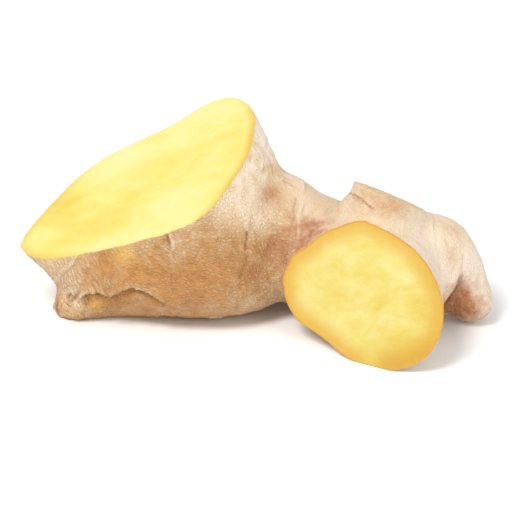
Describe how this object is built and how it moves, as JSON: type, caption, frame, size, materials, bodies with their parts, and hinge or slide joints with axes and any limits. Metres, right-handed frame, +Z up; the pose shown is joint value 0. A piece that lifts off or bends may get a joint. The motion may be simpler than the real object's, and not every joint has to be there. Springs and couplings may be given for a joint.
{
  "type": "ginger root",
  "caption": "Fresh ginger rhizome lying down: a fat lobe with a long oblique cut, a waist, a second lobe with a stem scar, a finger cut off square and a side shoot.",
  "frame": {"origin": "centre of the bounding box seen from above, on the surface that the root rests on", "axes": "+X along the root from the fat cut lobe to the side shoot, +Y away from the cut finger, +Z up"},
  "size_m": [0.1356, 0.0673, 0.0568],
  "materials": {
    "rhizome": "matt papery skin, moist yellow flesh where it is cut"
  },
  "bodies": {
    "root": {"ginger_root": "rhizome"}
  },
  "joints": []
}
